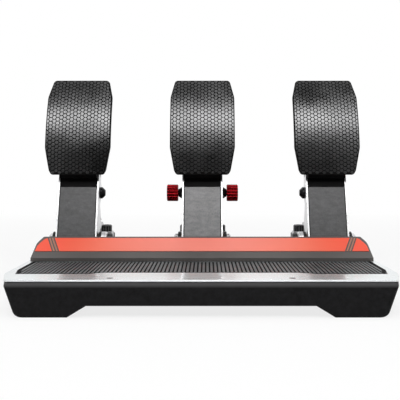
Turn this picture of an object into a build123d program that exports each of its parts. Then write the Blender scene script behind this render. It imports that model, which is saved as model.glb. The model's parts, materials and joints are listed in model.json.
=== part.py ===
from build123d import *
import math
import os

os.makedirs("parts", exist_ok=True)

# Sizes are in millimetres. +X is to the driver's right, +Y away from the driver, +Z up.
# The origin is on the floor, under the middle of the base.

# Overall layout
pedal_spacing = 140.0
base_depth = 320.0
deck_width = 356.0
deck_height = 32.5
overrun = 1.0
seat_gap = 0.2
running_gap = 0.05

# Base housing
corner_in = 9.5
corner_back = 36.0
corner_round = 3.0
band_height = 4.2
band_draft = 12.0
wall_draft = 19.5
underside = 10.3
foot_inner = 114.5
foot_ramp = 98.3
foot_edge_round = 7.0
foot_round_steps = 6
front_foot_end = 74.0
rear_foot_start = 246.0
cover_half = 76.0
cover_start = 16.0
cover_end = 304.0
cover_thickness = 2.0
cover_proud = 1.0
bay_wall = 3.0
bay_columns = 4
bay_split = 84.0
board_bay_start = 267.0

# Rubber pads under the feet
foot_pad_x = 134.0
foot_pad_width = 26.0
foot_pad_length = 44.0
foot_pad_round = 5.0
foot_pad_thickness = 3.0
foot_pad_proud = 0.5
foot_pad_inset = 42.0

# Heel plate and mat
heel_plate_depth = 128.0
heel_plate_thickness = 1.5
heel_bevel = 0.9
window_side = 6.0
window_front_end = 33.4
window_front_mid = 41.0
window_step_inner = 88.5
window_step_outer = 103.0
window_corner_in = 4.5
window_corner_back = 25.0
window_rear = 122.0
mat_gap = 0.9
mat_margin = 3.0
mat_base = 1.2
mat_recess = 0.8
rib_pitch = 3.75
rib_width = 2.2
rib_height = 1.0
rib_count = 90

# Base plate under the pedal modules
base_plate_thickness = 4.0
base_plate_half = 175.0
base_plate_start = 128.2
base_plate_end = 317.0
rig_hole_radius = 3.25
rig_hole_spacing_x = 140.0
rig_hole_spacing_y = 110.0
rig_hole_centre = 245.0
rig_boss_radius = 9.0

# Flush screws of the deck and the arms
flush_head_radius = 3.0
flush_shank_radius = 1.6
flush_length = 6.5
flush_cone_angle = 90.0
flush_socket_radius = 1.1
flush_socket_depth = 0.7
heel_screw_x = 79.0
heel_screw_setback = 10.0
plate_screw_x = 166.0
plate_screw_setbacks = (146.0, 232.0, 308.0)

# Front panel and its inlay
panel_half = 175.0
panel_start = 118.0
panel_lip = 3.3
panel_run = 40.0
panel_rise = 17.7
panel_land = 2.0
panel_back_slope = 1.5
panel_corner_in = 6.0
panel_corner_length = 15.0
panel_corner_round = 6.0
panel_side_round = 22.0
panel_wall = 2.5
inlay_thickness = 0.6
inlay_start = 13.2
inlay_end = 40.4
inlay_side_gap = 1.8
stripe_width = 1.6
stripe_gap = 1.5
stripe_lean = 20.0
stripe_start = 160.8
stripe_count = 2

# Pedal pivot and arm: "back" is square to the arm, "up" is along it
pivot_setback = 191.5
pivot_height = 47.0
arm_lean = 16.6
arm_front = 13.5
channel_half = 21.0
channel_wall = 2.5
channel_back = 0.5
channel_top = 136.0
web_top = 57.6
corner_radius = 1.0
side_plate_thickness = 1.65
side_plate_back = 3.0
side_plate_top = 130.0
plate_end_round = 5.0
axle_radius = 4.0
boss_radius = 9.0
bulge_radius = 9.0
bulge_back = 6.0
bulge_up = 22.0
bolt_back = 3.5
bolt_up = 55.3
bolt_radius = 4.0
lug_radius = 8.0
lug_spread = 13.0
arm_screw_back = -5.0
arm_screw_ups = (74.0, 94.0, 114.0)

# Pivot bracket, bearings and axle
ear_gap = 1.25
ear_thickness = 3.2
ear_radius = 9.0
bracket_floor = 4.0
bracket_front = 26.5
bracket_back = 28.0
bracket_inset = 3.0
bearing_radius = 6.0
bearing_flange_radius = 6.8
bearing_flange = 0.8
axle_head_radius = 7.0
axle_head_height = 4.0
axle_head_gap = 0.4
axle_dome = 1.5

# Bracket screws
bracket_screw_radius = 3.0
bracket_screw_head_radius = 5.0
bracket_screw_head_height = 6.0
bracket_screw_x = 12.0
bracket_screw_front = 20.0
bracket_screw_back = 21.5
socket_share = 0.55
socket_depth_share = 0.5

# Angle sensors on the clutch and throttle pivots
sensor_radius = 9.0
sensor_bore = 4.6
sensor_length = 6.6
sensor_cap_radius = 7.5
sensor_cap_length = 5.6
sensor_round = 2.4
sensor_pocket = 6.0
axle_sensor_reach = 5.0

# Cross bolt, collars and knobs
bolt_head_radius = 6.6
bolt_head_height = 5.6
bolt_head_dome = 3.4
collar_large_radius = 7.2
collar_small_radius = 4.2
collar_length = 4.8
stud_radius = 3.0
stud_reach = 14.0
knob_radius = 9.6
knob_length = 12.8
knob_gap = 0.3
knob_chamfer = 0.8
knob_flute_radius = 1.2
knob_flute_count = 16

# Strut between the cross bolt and the strut base
strut_pin_setback = 282.0
strut_pin_height = 50.0
strut_pin_radius = 4.0
strut_pin_half = 16.5
eye_radius = 8.0
eye_half = 16.0
eye_open_gap = 0.6
rod_radius = 5.0
rod_travel = 18.0
seat_start = 14.0
seat_thickness = 3.0
seat_radius = 14.0
sleeve_start = 38.0
sleeve_radius = 9.0
sleeve_eye_radius = 9.5
sleeve_bore_floor = 0.5
sleeve_half = 9.0
wheel_pin_gap = 30.5
wheel_length = 9.0
wheel_radius = 15.5
wheel_chamfer = 1.0
wheel_notch_count = 24
wheel_notch_radius = 1.1
wire = 3.0
coil_radius = 11.6
coil_turns = 7
coil_end_pitch = 3.5
coil_seat_gap = 0.3
brake_sleeve_lead = 1.0
load_cell_thickness = 9.0
load_cell_radius = 15.0
load_cell_round = 1.0
elastomer_radius = 13.0
elastomer_count = 3
elastomer_gap = 0.4
elastomer_round = 2.0

# Strut base
strut_base_half = 29.0
strut_base_front = 23.0
strut_base_back = 23.0
strut_base_height = 17.0
strut_base_step = 5.3
strut_step_front = 5.0
strut_base_floor = 4.0
strut_ear_gap = 0.5
strut_ear_thickness = 5.0
strut_ear_radius = 10.0
strut_base_round = 4.0
base_screw_radius = 4.0
base_screw_head_radius = 6.5
base_screw_head_height = 8.0
base_screw_x = 21.5
base_screw_front = 13.0
base_screw_back = 14.5

# Pads
pad_setback = 186.4
pad_bend = 200.0
pad_bend_height = 122.0
pad_bottom = 120.0
pad_top = 229.0
pad_width = 73.0
pad_thickness = 5.5
pad_corner_round = 4.0
pad_side_round = 16.0
# Outline of a pad as half width over pad width, and height over its full height
pad_outline_shares = ((0.40, 0.0), (0.435, 0.045), (0.5, 0.28), (0.5, 0.81), (0.43, 1.0))
pad_bracket_bottom = 121.5
pad_bracket_top = 192.0
tongue_back = 3.0
tongue_start = 58.1
tongue_underside = 68.0
tongue_end = 126.0
tongue_relief = 2.0

# Electronics in the rear bay
board_width = 76.0
board_depth = 33.0
board_thickness = 1.6
board_height = 14.0
board_post_radius = 3.0
board_post_inset = 4.0
chip_size = 12.0
chip_height = 1.6
socket_width = 15.0
socket_depth = 13.0
socket_height = 9.0
socket_wall = 1.6
socket_port_depth = 10.5

# Places that follow from the sizes above
front = -base_depth / 2
rear = base_depth / 2
deck_half = deck_width / 2
housing_top = deck_height - heel_plate_thickness
plate_bottom = deck_height - base_plate_thickness
pivot_y = front + pivot_setback
lean = math.radians(arm_lean)
plate_inner = channel_half + running_gap
plate_outer = plate_inner + side_plate_thickness
ear_inner = plate_outer + ear_gap
ear_outer = ear_inner + ear_thickness
pin_y = front + strut_pin_setback
pedals = {"clutch": -pedal_spacing, "brake": 0, "throttle": pedal_spacing}
sensor_sides = {"clutch": 1, "throttle": -1}


def arm_point(back, up):
    """The (Y, Z) of a point behind and above the pivot, along the leaning arm."""
    y = pivot_y + up * math.sin(lean) + back * math.cos(lean)
    z = pivot_height + up * math.cos(lean) - back * math.sin(lean)
    return y, z


bolt_y, bolt_z = arm_point(bolt_back, bolt_up)
strut_length = math.hypot(pin_y - bolt_y, strut_pin_height - bolt_z)
strut_way = ((pin_y - bolt_y) / strut_length, (strut_pin_height - bolt_z) / strut_length)
sleeve_bore_end = strut_length - sleeve_eye_radius - sleeve_bore_floor
rod_end = sleeve_bore_end - rod_travel
wheel_start = strut_length - wheel_pin_gap
load_cell_start = wheel_start - load_cell_thickness


def arm_plane(x):
    """Sketch plane across the arm: its x runs to the back, its y up the arm."""
    across = (0, math.cos(lean), -math.sin(lean))
    return Plane((x, pivot_y, pivot_height), x_dir=across, z_dir=(1, 0, 0))


def side_plane(x, y=0, z=0):
    """Upright sketch plane seen from the side: its x runs along Y, its y along Z."""
    return Plane((x, y, z), x_dir=(0, 1, 0), z_dir=(1, 0, 0))


def strut_plane(x):
    """Sketch plane through a strut: its x runs from the cross bolt to the strut pin."""
    return Plane((x, bolt_y, bolt_z), x_dir=(0, *strut_way), z_dir=(1, 0, 0))


def strut_axis(x):
    """Centre line of the strut of the pedal at x."""
    return Axis((x, bolt_y, bolt_z), (0, *strut_way))


def keep(part, name):
    """Labels a finished piece and writes it."""
    part.label = name
    export_step(part, f"parts/{name}.step")


def rod_along_x(x_from, x_to, y, z, radius, mode=Mode.ADD):
    """A round bar, or with Mode.SUBTRACT a bore, along X."""
    with BuildSketch(side_plane(min(x_from, x_to), y, z)) as disc:
        Circle(radius)
    extrude(disc.sketch, amount=abs(x_to - x_from), mode=mode)


def spun(profile, plane, axis, mode=Mode.ADD):
    """Revolves a closed profile, given as points in a plane, about an axis."""
    with BuildSketch(plane) as section:
        with BuildLine():
            Polyline(*profile, close=True)
        make_face()
    revolve(section.sketch, axis=axis, mode=mode)


def turned_along_x(x, y, z, side, profile, mode=Mode.ADD):
    """A turned piece along X: profile points are (distance outward from x, radius)."""
    plane = Plane((x, y, z), x_dir=(side, 0, 0), z_dir=(0, -side, 0))
    spun(profile, plane, Axis((x, y, z), (1, 0, 0)), mode)


def hull_of(circles):
    """The tight outline round circles given as (x, y, radius)."""
    with BuildSketch() as outline:
        for x, y, radius in circles:
            with Locations((x, y)):
                Circle(radius)
        make_hull()
    return outline.sketch


def deck_outline(half):
    """Plan of the base: slanted front corners with soft ends, square at the back."""
    with BuildSketch() as plan:
        with BuildLine():
            Polyline(
                (0, front),
                (half - corner_in, front),
                (half, front + corner_back),
                (half, rear),
                (0, rear),
                close=True,
            )
        make_face()
        fillet(plan.vertices().sort_by(Axis.X)[-3:].sort_by(Axis.Y)[0], corner_round)
        mirror(about=Plane.YZ)
    return plan.sketch


def window_outline(inset):
    """Plan of the heel plate's window, drawn in by an inset."""
    side = deck_half - window_side - inset
    end = front + window_front_end + inset
    middle = front + window_front_mid + inset
    with BuildSketch() as plan:
        with BuildLine():
            Polyline(
                (0, middle),
                (window_step_inner, middle),
                (window_step_outer, end),
                (side - window_corner_in, end),
                (side, front + window_front_end + window_corner_back),
                (side, front + window_rear - inset),
                (0, front + window_rear - inset),
                close=True,
            )
        make_face()
        mirror(about=Plane.YZ)
    return plan.sketch


def cap_screw(radius, length, head_radius, head_height):
    """A socket cap screw whose head rests on z = 0."""
    with BuildPart() as screw:
        Cylinder(head_radius, head_height, align=(Align.CENTER, Align.CENTER, Align.MIN))
        chamfer(screw.edges().sort_by(Axis.Z)[-1], head_height - head_height * (1 - socket_share / 4))
        Cylinder(radius, length, align=(Align.CENTER, Align.CENTER, Align.MAX))
        with BuildSketch(Plane.XY.offset(head_height)):
            RegularPolygon(head_radius * socket_share, 6)
        extrude(amount=-head_height * socket_depth_share, mode=Mode.SUBTRACT)
    return screw.part


def flush_screw():
    """A countersunk screw whose head lies just under z = 0."""
    with BuildPart() as screw:
        cone = flush_head_radius - flush_shank_radius
        spun(
            [(0, 0), (flush_head_radius, 0), (flush_shank_radius, -cone),
             (flush_shank_radius, -flush_length), (0, -flush_length)],
            Plane.XZ,
            Axis.Z,
        )
        with BuildSketch(Plane.XY):
            RegularPolygon(flush_socket_radius, 6)
        extrude(amount=-flush_socket_depth, mode=Mode.SUBTRACT)
    return screw.part


# Where screws go
heel_screws = [Location((side * heel_screw_x, front + heel_screw_setback, deck_height)) for side in (-1, 1)]
plate_screws = [
    Location((side * plate_screw_x, front + setback, deck_height))
    for side in (-1, 1)
    for setback in plate_screw_setbacks
]
bracket_screws = [
    Location((x + side * bracket_screw_x, pivot_y + y, deck_height + bracket_floor))
    for x in pedals.values()
    for side in (-1, 1)
    for y in (-bracket_screw_front, bracket_screw_back)
]
base_screw_rows = ((-base_screw_front, strut_base_height), (base_screw_back, strut_base_step))
base_screws = {
    height: [
        Location((x + side * base_screw_x, pin_y + y, deck_height + height))
        for x in pedals.values()
        for side in (-1, 1)
    ]
    for y, height in base_screw_rows
}
rig_bolts = [
    Location((x * rig_hole_spacing_x / 2, front + rig_hole_centre + y * rig_hole_spacing_y / 2, deck_height))
    for x in (-1, 1)
    for y in (-1, 1)
]


def arm_screws(x):
    """Places of the flush screws on both sides of the arm at x."""
    places = []
    for side in (-1, 1):
        for up in arm_screw_ups:
            origin = (x + side * plate_outer, *arm_point(arm_screw_back, up))
            places.append(Plane(origin, x_dir=(0, 1, 0), z_dir=(side, 0, 0)).location)
    return places


def flush_holes(places):
    """Countersunk holes for flush screws."""
    with Locations(*places):
        CounterSinkHole(
            flush_shank_radius + running_gap, flush_head_radius + running_gap,
            flush_length + running_gap, flush_cone_angle,
        )


# Base housing: slanted side walls, two wide feet in front and two behind
with BuildPart() as base_shell:
    band_bottom = housing_top - band_height
    draft_run = (band_bottom - foot_pad_proud) * math.tan(math.radians(wall_draft))
    with BuildSketch(Plane.XY.offset(band_bottom)):
        add(deck_outline(deck_half))
    extrude(amount=band_height, taper=band_draft)
    with BuildSketch(Plane.XY.offset(band_bottom)):
        add(deck_outline(deck_half))
    wall_angle = math.radians(wall_draft)
    round_in = foot_edge_round * (1 - math.sin(wall_angle)) / math.cos(wall_angle)
    for count in range(foot_round_steps + 1):
        turn = wall_angle + (math.pi / 2 - wall_angle) * count / foot_round_steps
        with BuildSketch(Plane.XY.offset(foot_pad_proud + foot_edge_round * (1 - math.sin(turn)))):
            add(deck_outline(deck_half - draft_run - round_in + foot_edge_round * math.cos(turn)))
    loft(ruled=True)
    with BuildSketch(Plane.XZ.offset(-rear - overrun)):
        ramp = (foot_inner - foot_ramp) / (underside - foot_pad_proud)
        with BuildLine():
            Polyline(
                (-foot_inner - overrun * ramp, foot_pad_proud - overrun),
                (-foot_ramp, underside),
                (foot_ramp, underside),
                (foot_inner + overrun * ramp, foot_pad_proud - overrun),
                close=True,
            )
        make_face()
    extrude(amount=base_depth + 2 * overrun, mode=Mode.SUBTRACT)
    with BuildSketch(Plane.XY.offset(foot_pad_proud - overrun)):
        with Locations((0, front + (front_foot_end + rear_foot_start) / 2)):
            Rectangle(deck_width + 2 * overrun, rear_foot_start - front_foot_end)
    extrude(amount=underside - foot_pad_proud + overrun, mode=Mode.SUBTRACT)
    # Seats of the base plate, the mat and the cover
    with BuildSketch(Plane.XY.offset(plate_bottom)):
        with Locations((0, front + (base_plate_start + base_plate_end) / 2)):
            Rectangle(2 * (base_plate_half + seat_gap), base_plate_end - base_plate_start + 2 * seat_gap)
    extrude(amount=deck_height - plate_bottom, mode=Mode.SUBTRACT)
    with BuildSketch(Plane.XY.offset(housing_top - mat_recess)):
        add(window_outline(mat_gap - seat_gap))
    extrude(amount=mat_recess + overrun, mode=Mode.SUBTRACT)
    cover_seat = underside - cover_proud + cover_thickness
    with BuildSketch(Plane.XY.offset(cover_seat)):
        with Locations((0, front + (cover_start + cover_end) / 2)):
            Rectangle(2 * cover_half, cover_end - cover_start)
    extrude(amount=-cover_thickness, mode=Mode.SUBTRACT)
    # Bays under the deck, one of them for the circuit board
    bay_ceiling = plate_bottom - bay_wall
    bay_half = cover_half - bay_wall
    bays = (
        (cover_start + bay_wall, front_foot_end + bay_wall),
        (front_foot_end + 2 * bay_wall, front_foot_end + bay_wall + bay_split),
        (front_foot_end + 2 * bay_wall + bay_split, board_bay_start - bay_wall),
    )
    with BuildSketch(Plane.XY.offset(cover_seat - overrun)):
        for start, end in bays:
            with Locations((0, front + (start + end) / 2)):
                with GridLocations((2 * bay_half + bay_wall) / bay_columns, 0, bay_columns, 1):
                    Rectangle((2 * bay_half + bay_wall) / bay_columns - bay_wall, end - start)
        with Locations((0, front + (board_bay_start + cover_end - bay_wall) / 2)):
            Rectangle(2 * bay_half, cover_end - bay_wall - board_bay_start)
    extrude(amount=bay_ceiling - cover_seat + overrun, mode=Mode.SUBTRACT)
    with BuildSketch(Plane.XY.offset(cover_seat)):
        with Locations(*[Location((place.position.X, place.position.Y)) for place in rig_bolts]):
            Circle(rig_boss_radius)
    extrude(amount=bay_ceiling - cover_seat)
    with Locations(*rig_bolts):
        Hole(rig_hole_radius)
    # Posts that hold the circuit board
    board_y = front + board_bay_start + seat_gap + board_depth / 2
    with BuildSketch(Plane.XY.offset(board_height + board_thickness)):
        with Locations((0, board_y)):
            with GridLocations(board_width - 2 * board_post_inset, board_depth - 2 * board_post_inset, 2, 2):
                Circle(board_post_radius)
    extrude(amount=bay_ceiling - board_height - board_thickness)
    # Opening for the socket in the rear wall
    socket_y = board_y + board_depth / 2 + seat_gap
    with BuildSketch(Plane.XZ.offset(-socket_y)):
        with Locations((0, board_height + socket_height / 2)):
            Rectangle(socket_width + 2 * seat_gap, socket_height + 2 * seat_gap)
    extrude(amount=-(rear - socket_y + overrun), mode=Mode.SUBTRACT)
    # Recesses of the rubber pads
    with BuildSketch(Plane.XY.offset(foot_pad_thickness)):
        with GridLocations(2 * foot_pad_x, base_depth - 2 * foot_pad_inset, 2, 2):
            RectangleRounded(foot_pad_width, foot_pad_length, foot_pad_round)
    extrude(amount=-foot_pad_thickness, mode=Mode.SUBTRACT)
    with Locations(*heel_screws, *plate_screws):
        Hole(flush_shank_radius + running_gap, depth=flush_length + running_gap)
keep(base_shell.part, "base_shell")

with BuildPart() as bottom_cover:
    with BuildSketch(Plane.XY.offset(cover_seat)):
        with Locations((0, front + (cover_start + cover_end) / 2)):
            RectangleRounded(
                2 * (cover_half - seat_gap), cover_end - cover_start - 2 * seat_gap, corner_radius
            )
    extrude(amount=-cover_thickness)
    with Locations(*rig_bolts):
        Hole(rig_hole_radius)
keep(bottom_cover.part, "bottom_cover")

with BuildPart() as foot_pads:
    with BuildSketch(Plane.XY):
        with GridLocations(2 * foot_pad_x, base_depth - 2 * foot_pad_inset, 2, 2):
            RectangleRounded(foot_pad_width, foot_pad_length, foot_pad_round)
    extrude(amount=foot_pad_thickness)
keep(foot_pads.part, "foot_pads")

# Deck: heel plate round a ribbed mat, steel plate behind
with BuildPart() as heel_plate:
    with BuildSketch(Plane.XY.offset(housing_top)):
        add(deck_outline(deck_half))
        with Locations((0, front + heel_plate_depth + base_depth / 2)):
            Rectangle(deck_width, base_depth, mode=Mode.SUBTRACT)
        add(window_outline(0), mode=Mode.SUBTRACT)
    extrude(amount=heel_plate_thickness)
    chamfer(heel_plate.edges().filter_by(Axis.X).group_by(Axis.Y)[0].sort_by(Axis.Z)[-1], heel_bevel)
    flush_holes(heel_screws)
keep(heel_plate.part, "heel_plate")

with BuildPart() as heel_mat:
    with BuildSketch(Plane.XY.offset(housing_top - mat_recess)):
        add(window_outline(mat_gap))
    extrude(amount=mat_base)
    with BuildSketch(Plane.XY.offset(housing_top - mat_recess + mat_base)):
        add(window_outline(mat_gap + mat_margin))
        with BuildSketch(mode=Mode.INTERSECT):
            with GridLocations(rib_pitch, 0, rib_count, 1):
                Rectangle(rib_width, base_depth)
    extrude(amount=rib_height)
keep(heel_mat.part, "heel_mat")

with BuildPart() as base_plate:
    with BuildSketch(Plane.XY.offset(plate_bottom)):
        with Locations((0, front + (base_plate_start + base_plate_end) / 2)):
            Rectangle(2 * base_plate_half, base_plate_end - base_plate_start)
    extrude(amount=base_plate_thickness)
    with Locations(*rig_bolts):
        Hole(rig_hole_radius)
    with Locations(*bracket_screws):
        Hole(bracket_screw_radius + running_gap)
    for row in base_screws.values():
        with Locations(*row):
            Hole(base_screw_radius + running_gap)
    flush_holes(plate_screws)
keep(base_plate.part, "base_plate")

with BuildPart() as deck_screws:
    with Locations(*heel_screws, *plate_screws):
        add(flush_screw())
keep(deck_screws.part, "deck_screws")

# Front panel: a hollow wedge with a lip, and the inlay on its slope
def cut_corners(start, end, half):
    """A wide strip whose far corners are cut back and rounded."""
    with BuildSketch() as strip:
        with BuildLine():
            Polyline(
                (0, start),
                (half, start),
                (half, end - panel_corner_length),
                (half - panel_corner_in, end),
                (0, end),
                close=True,
            )
        make_face()
        far = strip.vertices().filter_by(lambda point: point.X > overrun).sort_by(Axis.Y)
        fillet(far[-1], panel_corner_round)
        side = strip.vertices().filter_by(lambda point: point.X > half - overrun).sort_by(Axis.Y)
        fillet(side[-1], panel_side_round)
        mirror(about=Plane.YZ)
    return strip.sketch


panel_y = front + panel_start
with BuildPart() as front_panel:
    with BuildSketch(side_plane(-panel_half, panel_y, deck_height)):
        with BuildLine():
            Polyline(
                (0, 0),
                (0, panel_lip),
                (panel_run, panel_lip + panel_rise),
                (panel_run + panel_land, panel_lip + panel_rise),
                (panel_run + panel_land + panel_back_slope, 0),
                close=True,
            )
        make_face()
    extrude(amount=2 * panel_half)
    with BuildSketch(Plane.XY.offset(deck_height)):
        with Locations((0, panel_y)):
            add(cut_corners(0, panel_run + panel_land + panel_back_slope, panel_half))
    extrude(amount=panel_lip + panel_rise, mode=Mode.INTERSECT)
    offset(amount=-panel_wall, openings=front_panel.faces().sort_by(Axis.Z)[0])
keep(front_panel.part, "front_panel")

slope = math.hypot(panel_run, panel_rise)
slope_plane = Plane(
    (0, panel_y, deck_height + panel_lip), x_dir=(1, 0, 0), z_dir=(0, -panel_rise / slope, panel_run / slope)
)
with BuildPart() as panel_inlay:
    middle = (inlay_start + inlay_end) / 2
    reach = (inlay_end - inlay_start) / 2 + overrun
    shift = reach * math.tan(math.radians(stripe_lean))
    inlay_half = panel_half - inlay_side_gap
    with BuildSketch(slope_plane):
        add(cut_corners(inlay_start, inlay_end, inlay_half))
        for side in (-1, 1):
            for stripe in range(stripe_count + 1):
                outer = side * (stripe_start - stripe * (stripe_width + stripe_gap))
                inner = outer - side * stripe_gap
                with BuildLine():
                    Polyline(
                        (outer - side * shift, middle - reach),
                        (inner - side * shift, middle - reach),
                        (inner + side * shift, middle + reach),
                        (outer + side * shift, middle + reach),
                        close=True,
                    )
                make_face(mode=Mode.SUBTRACT)
    extrude(amount=inlay_thickness)
keep(panel_inlay.part, "panel_inlay")


# Pivot brackets on the base plate
def pivot_bracket(x):
    """A floor and two rounded ears that carry the pedal's bearings."""
    with BuildPart() as bracket:
        with BuildSketch(Plane.XY.offset(deck_height)):
            with Locations((x, pivot_y + (bracket_back - bracket_front) / 2)):
                Rectangle(2 * ear_outer, bracket_back + bracket_front)
        extrude(amount=bracket_floor)
        foot = deck_height - pivot_height + corner_radius
        ear = hull_of((
            (0, 0, ear_radius),
            (corner_radius + bracket_inset - bracket_front, foot, corner_radius),
            (bracket_back - bracket_inset - corner_radius, foot, corner_radius),
        ))
        for start in (x - ear_outer, x + ear_inner):
            with BuildSketch(side_plane(start, pivot_y, pivot_height)):
                add(ear)
            extrude(amount=ear_thickness)
        rod_along_x(x - ear_outer, x + ear_outer, pivot_y, pivot_height, bearing_radius, Mode.SUBTRACT)
        with Locations(*bracket_screws):
            Hole(bracket_screw_radius + seat_gap)
    return bracket.part


for name, x in pedals.items():
    keep(pivot_bracket(x), f"{name}_bracket")

with BuildPart() as pivot_bearings:
    for x in pedals.values():
        for side in (-1, 1):
            bore = axle_radius + running_gap
            profile = [
                (-bearing_flange, bore),
                (-bearing_flange, bearing_flange_radius),
                (0, bearing_flange_radius),
                (0, bearing_radius),
                (ear_thickness, bearing_radius),
                (ear_thickness, bore),
            ]
            turned_along_x(x + side * ear_inner, pivot_y, pivot_height, side, profile)
keep(pivot_bearings.part, "pivot_bearings")

with BuildPart() as bracket_screw_set:
    with Locations(*bracket_screws):
        add(cap_screw(
            bracket_screw_radius, bracket_floor + base_plate_thickness,
            bracket_screw_head_radius, bracket_screw_head_height,
        ))
keep(bracket_screw_set.part, "bracket_screws")


def angle_sensor(x, side):
    """A round housing on the bracket's ear with a cap on its outer end."""
    with BuildPart() as sensor:
        cap_start = x + side * (ear_outer + sensor_length)
        rod_along_x(x + side * ear_outer, cap_start, pivot_y, pivot_height, sensor_radius)
        rim = sensor.edges().filter_by(GeomType.CIRCLE).sort_by(Axis.X)
        fillet(rim[-1] if side > 0 else rim[0], sensor_round)
        rod_along_x(cap_start, cap_start + side * sensor_cap_length, pivot_y, pivot_height, sensor_cap_radius)
        rim = sensor.edges().filter_by(GeomType.CIRCLE).sort_by(Axis.X)
        fillet(rim[-1] if side > 0 else rim[0], sensor_round)
        rod_along_x(
            x + side * ear_outer, x + side * (ear_outer + sensor_pocket), pivot_y, pivot_height,
            sensor_bore, Mode.SUBTRACT,
        )
    return sensor.part


for name, side in sensor_sides.items():
    keep(angle_sensor(pedals[name], side), f"{name}_sensor")


# Strut bases behind the brackets
def strut_base(x):
    """A block with two ears for the strut pin and a stepped shoulder on each side."""
    with BuildPart() as block:
        slot = sleeve_half + strut_ear_gap
        with BuildSketch(Plane.XY.offset(deck_height)):
            with Locations((x, pin_y + (strut_base_back - strut_base_front) / 2)):
                RectangleRounded(2 * strut_base_half, strut_base_front + strut_base_back, strut_base_round)
        extrude(amount=strut_base_height)
        shoulder = deck_height + strut_base_height - strut_pin_height - corner_radius
        ear = hull_of((
            (0, 0, strut_ear_radius),
            (corner_radius - strut_base_front, shoulder, corner_radius),
            (strut_base_back - corner_radius, shoulder, corner_radius),
        ))
        with BuildSketch(side_plane(x - slot - strut_ear_thickness, pin_y, strut_pin_height)):
            add(ear)
        extrude(amount=2 * (slot + strut_ear_thickness))
        with BuildSketch(side_plane(x - slot, pin_y, deck_height + strut_base_floor)):
            Rectangle(
                strut_base_front + strut_base_back + 2 * overrun, strut_pin_height,
                align=(Align.CENTER, Align.MIN),
            )
        extrude(amount=2 * slot, mode=Mode.SUBTRACT)
        rod_along_x(
            x - strut_base_half, x + strut_base_half, pin_y, strut_pin_height,
            strut_pin_radius + running_gap, Mode.SUBTRACT,
        )
        step_back = strut_base_back + overrun
        with BuildSketch(Plane.XY.offset(deck_height + strut_base_step)):
            with Locations((x, pin_y + (step_back - strut_step_front) / 2)):
                Rectangle(2 * strut_base_half + overrun, strut_step_front + step_back)
                Rectangle(
                    2 * (slot + strut_ear_thickness), strut_step_front + step_back + overrun,
                    mode=Mode.SUBTRACT,
                )
        extrude(amount=strut_base_height, mode=Mode.SUBTRACT)
        for row in base_screws.values():
            with Locations(*row):
                Hole(base_screw_radius + seat_gap)
    return block.part


for name, x in pedals.items():
    keep(strut_base(x), f"{name}_strut_base")

with BuildPart() as strut_pins:
    for x in pedals.values():
        rod_along_x(x - strut_pin_half, x + strut_pin_half, pin_y, strut_pin_height, strut_pin_radius)
keep(strut_pins.part, "strut_pins")

with BuildPart() as base_screw_set:
    for height, row in base_screws.items():
        with Locations(*row):
            add(cap_screw(
                base_screw_radius, height + base_plate_thickness,
                base_screw_head_radius, base_screw_head_height,
            ))
keep(base_screw_set.part, "strut_base_screws")

# Circuit board and its socket
with BuildPart() as circuit_board:
    with BuildSketch(Plane.XY.offset(board_height)):
        with Locations((0, board_y)):
            Rectangle(board_width, board_depth)
    extrude(amount=board_thickness)
    with BuildSketch(Plane.XY.offset(board_height + board_thickness)):
        with Locations((0, board_y)):
            with GridLocations(2 * chip_size, 0, 2, 1):
                Rectangle(chip_size, chip_size)
    extrude(amount=chip_height)
keep(circuit_board.part, "circuit_board")

with BuildPart() as usb_socket:
    with BuildSketch(Plane.XZ.offset(-socket_y)):
        with Locations((0, board_height + socket_height / 2)):
            Rectangle(socket_width, socket_height)
    extrude(amount=-socket_depth)
    with BuildSketch(Plane.XZ.offset(-socket_y - socket_depth)):
        with Locations((0, board_height + socket_height / 2)):
            RectangleRounded(socket_width - 2 * socket_wall, socket_height - 2 * socket_wall, socket_wall)
            Rectangle(socket_width / 2, socket_wall, mode=Mode.SUBTRACT)
    extrude(amount=socket_port_depth, mode=Mode.SUBTRACT)
keep(usb_socket.part, "usb_socket")


# Pedal arms
def bore_arm(x, back, up, radius):
    """A bore along X right through an arm."""
    rod_along_x(x - plate_outer, x + plate_outer, *arm_point(back, up), radius, Mode.SUBTRACT)


def arm_channel(x):
    """The folded channel: a web that faces the driver and two flanges."""
    edge = corner_radius - arm_front
    with BuildPart() as channel:
        with BuildSketch(arm_plane(x - channel_half)):
            add(hull_of((
                (0, 0, boss_radius),
                (edge, corner_radius, corner_radius),
                (edge, boss_radius, corner_radius),
                (channel_back - corner_radius, web_top / 2, corner_radius),
            )))
            with BuildLine():
                Polyline(
                    (-arm_front, corner_radius),
                    (channel_back, corner_radius),
                    (channel_back, channel_top),
                    (channel_wall - arm_front, channel_top),
                    (channel_wall - arm_front, web_top),
                    (-arm_front, web_top),
                    close=True,
                )
            make_face()
            with Locations((bolt_back, bolt_up)):
                Circle(lug_radius)
        extrude(amount=2 * channel_half)
        with BuildSketch(arm_plane(x - channel_half + channel_wall)):
            with BuildLine():
                Polyline(
                    (channel_wall - arm_front, -2 * boss_radius),
                    (pedal_spacing, -2 * boss_radius),
                    (pedal_spacing, channel_top + overrun),
                    (channel_wall - arm_front - overrun, channel_top + overrun),
                    (channel_wall - arm_front - overrun, web_top),
                    (channel_wall - arm_front, web_top),
                    close=True,
                )
            make_face()
        extrude(amount=2 * (channel_half - channel_wall), mode=Mode.SUBTRACT)
        bore_arm(x, 0, 0, axle_radius + running_gap)
        bore_arm(x, bolt_back, bolt_up, bolt_radius + running_gap)
        with Locations(*arm_screws(x)):
            Hole(flush_shank_radius + running_gap, depth=flush_length + running_gap)
    return channel.part


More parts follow.
